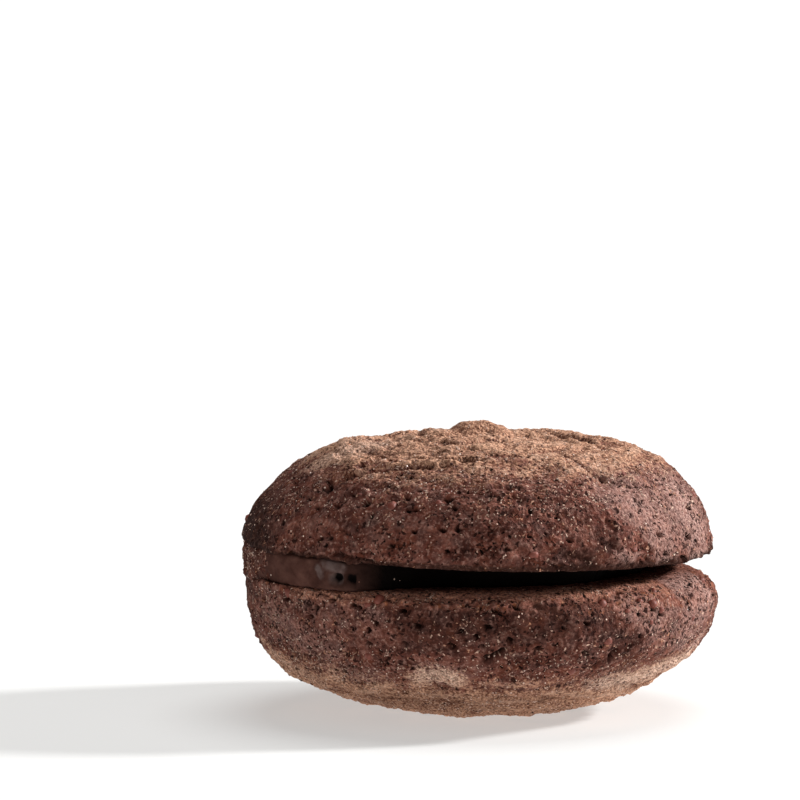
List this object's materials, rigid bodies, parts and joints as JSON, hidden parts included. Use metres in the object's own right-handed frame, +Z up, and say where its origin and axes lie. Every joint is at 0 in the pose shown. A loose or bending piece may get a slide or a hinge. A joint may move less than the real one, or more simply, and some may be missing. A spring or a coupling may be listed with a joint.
{
  "type": "chocolate amaretti sandwich cookie",
  "caption": "Soft chocolate amaretti: domed almond biscuits joined base to base by a thin chocolate filling, flush at one side and set back in a slit round the rest.",
  "frame": {"origin": "middle of the bounding box's base, on the surface that the lower biscuit rests on", "axes": "+Z up through both biscuits, +X to the right along the side where the slit opens, +Y to the back"},
  "size_m": [0.0419, 0.0401, 0.0257],
  "materials": {
    "crust": "soft baked chocolate almond crust, matt and open-pored, with a tan bloom of cocoa and sugar on the domes",
    "filling": "smooth dull chocolate paste with a few open bubbles"
  },
  "bodies": {
    "root": {"biscuit_lower": "crust", "biscuit_upper": "crust", "filling": "filling"}
  },
  "joints": []
}
